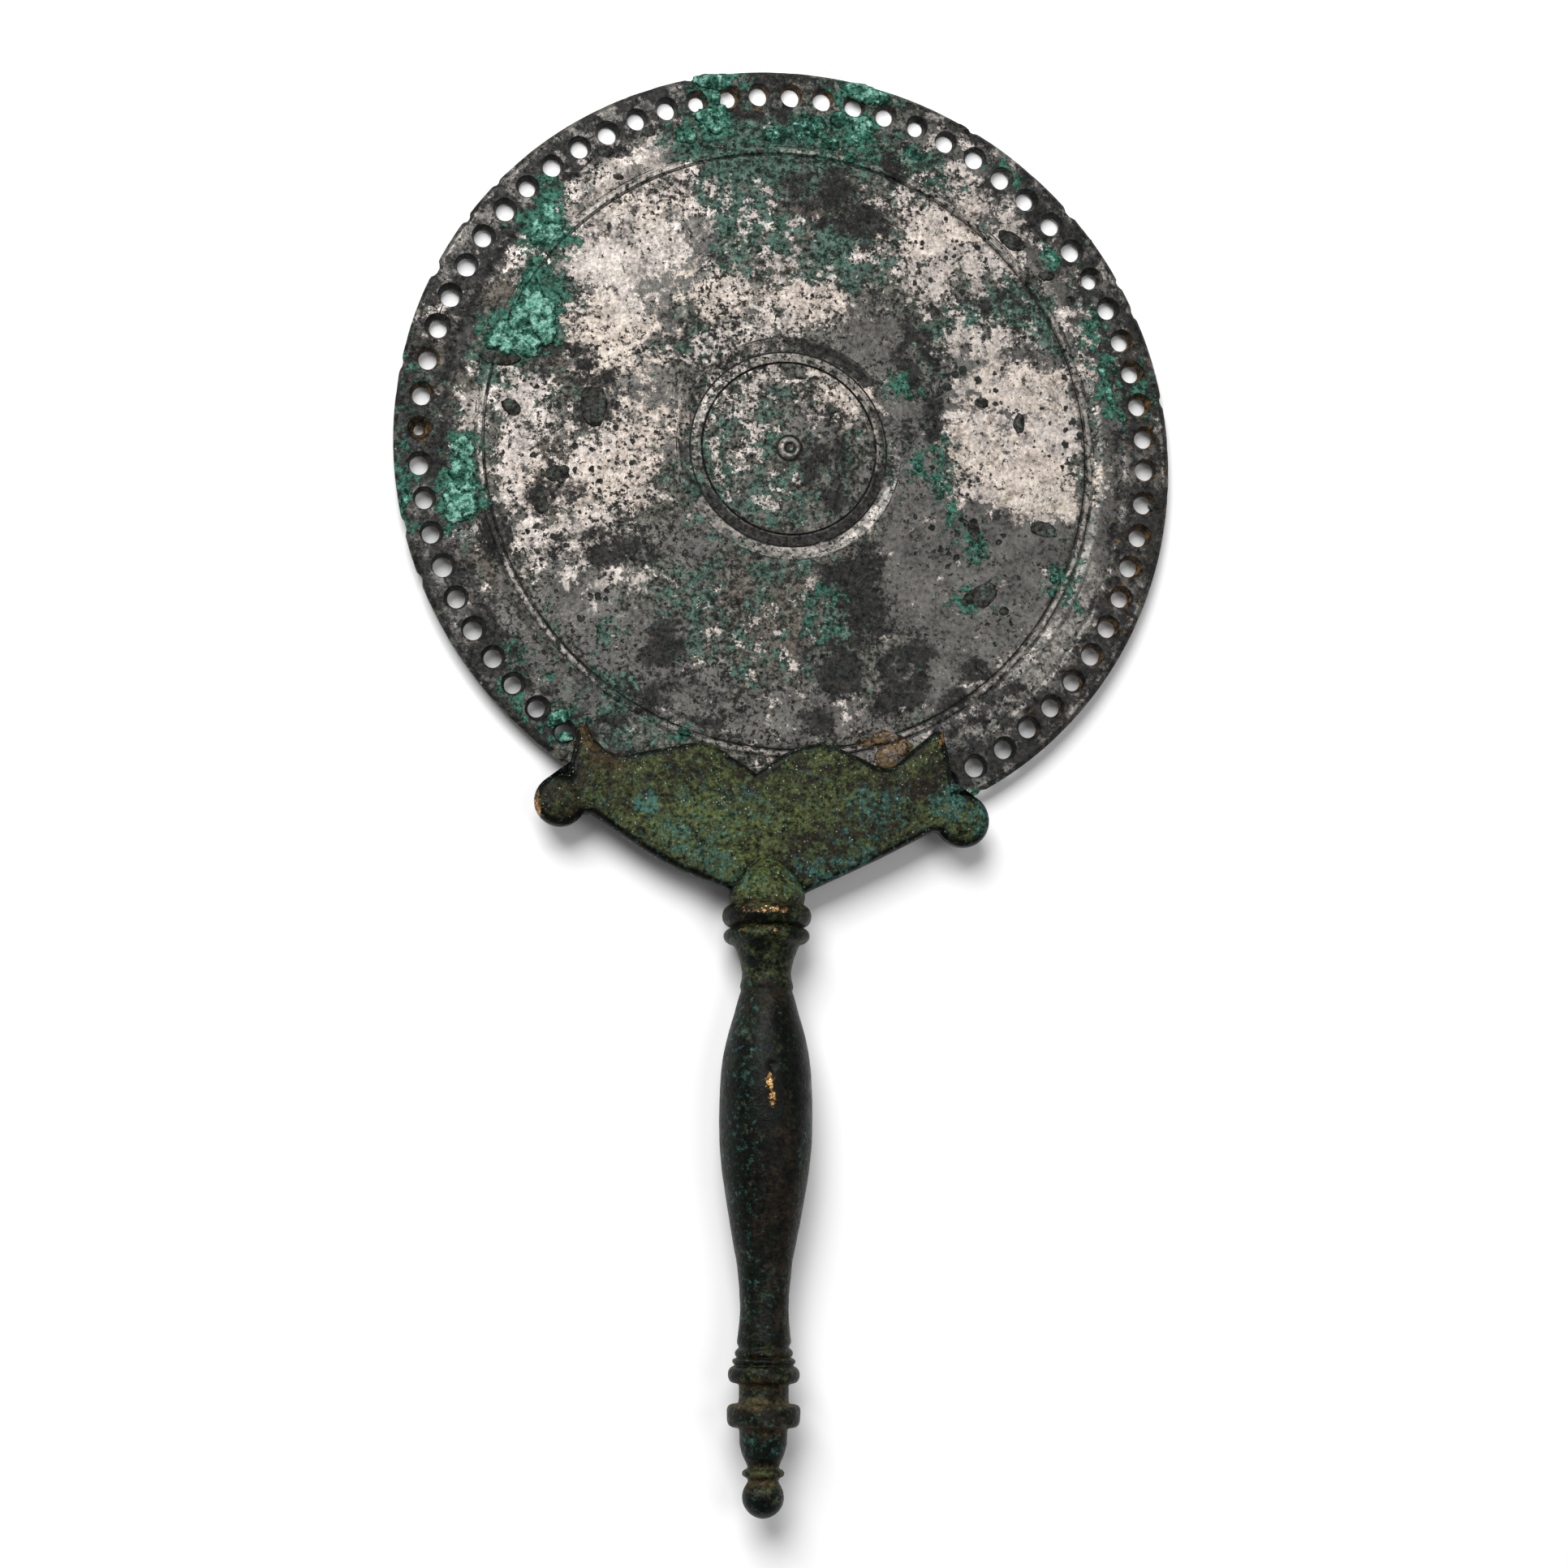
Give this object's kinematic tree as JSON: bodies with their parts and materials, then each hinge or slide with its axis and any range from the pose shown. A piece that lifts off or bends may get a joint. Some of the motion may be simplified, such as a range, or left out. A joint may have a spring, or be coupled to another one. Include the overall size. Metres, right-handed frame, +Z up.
{
  "type": "bronze hand mirror",
  "caption": "Roman hand mirror: round bronze disc with turned mouldings and a pierced rim, on a cast baluster handle with a winged bracket.",
  "frame": {"origin": "on the surface that the mirror lies on, under the middle of its bounding box", "axes": "+Y from the handle towards the disc, +Z up out of the turned back of the disc, +X to the right of the disc when the handle points towards the viewer"},
  "size_m": [0.125, 0.2282, 0.0144],
  "materials": {
    "tin_bronze_disc": "turned high-tin bronze, corroded to grey with silvery patches and green crusts",
    "cast_bronze_handle": "cast bronze under a dark olive-green patina, worn to the metal on its high points"
  },
  "bodies": {
    "root": {"mirror_disc": "tin_bronze_disc", "handle": "cast_bronze_handle"}
  },
  "joints": []
}
